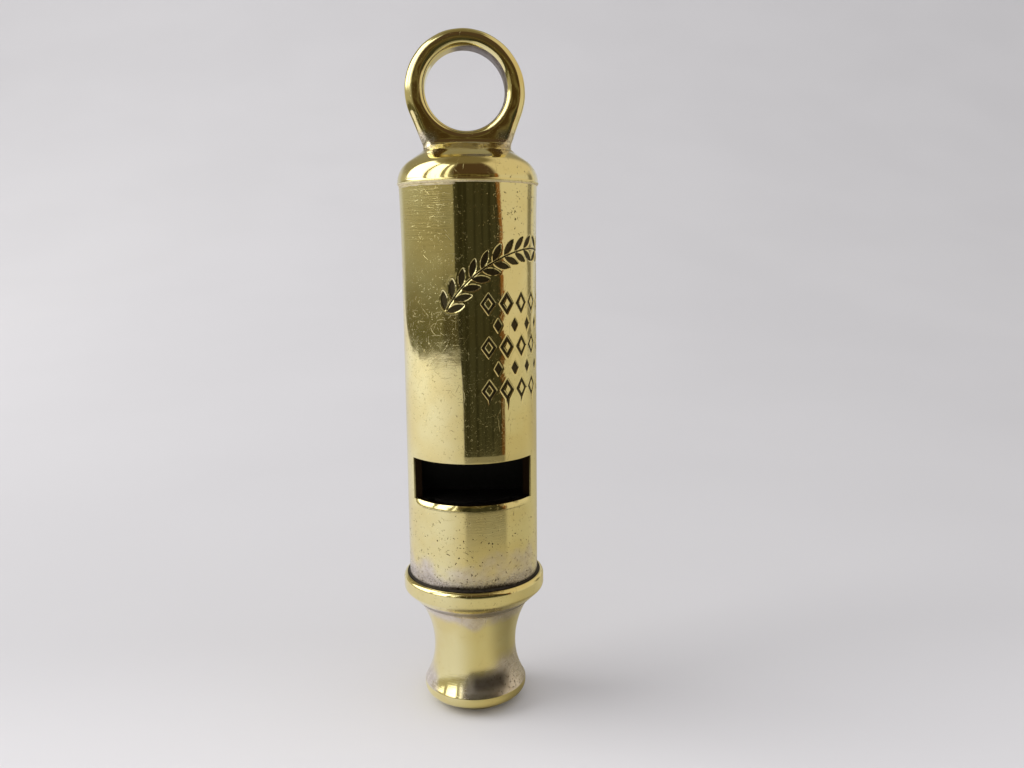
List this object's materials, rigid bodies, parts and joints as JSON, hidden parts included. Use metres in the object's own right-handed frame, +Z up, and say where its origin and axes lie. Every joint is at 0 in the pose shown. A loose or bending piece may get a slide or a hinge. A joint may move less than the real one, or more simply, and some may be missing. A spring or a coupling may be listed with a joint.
{
  "type": "pea-less tube whistle",
  "caption": "Brass tube whistle with two side windows, a flared mouthpiece with a collar, a domed cap and a fixed suspension ring.",
  "frame": {"origin": "on the whistle's axis, at the surface that the mouthpiece's lip stands on", "axes": "+Z up the axis from the lip to the loop, -Y out of the front window, X across the loop"},
  "size_m": [0.0178, 0.0178, 0.0828],
  "materials": {
    "polished_brass": "polished, worn, with traces of nickel plate",
    "blackened_brass": "blackened by age",
    "soft_solder": "dull soft solder, dirty"
  },
  "bodies": {
    "root": {"mouthpiece": "polished_brass", "barrel": "polished_brass", "end_cap": "polished_brass", "suspension_loop": "polished_brass", "windway_plug": "blackened_brass", "chamber_divider": "blackened_brass", "front_chamber_stop": "blackened_brass", "rear_chamber_stop": "blackened_brass", "mouthpiece_solder_ring": "soft_solder", "cap_solder_ring": "soft_solder", "loop_solder_fillet": "soft_solder", "plug_solder_fillets": "soft_solder", "divider_solder_fillets": "soft_solder", "stop_solder_fillets": "soft_solder"}
  },
  "joints": []
}
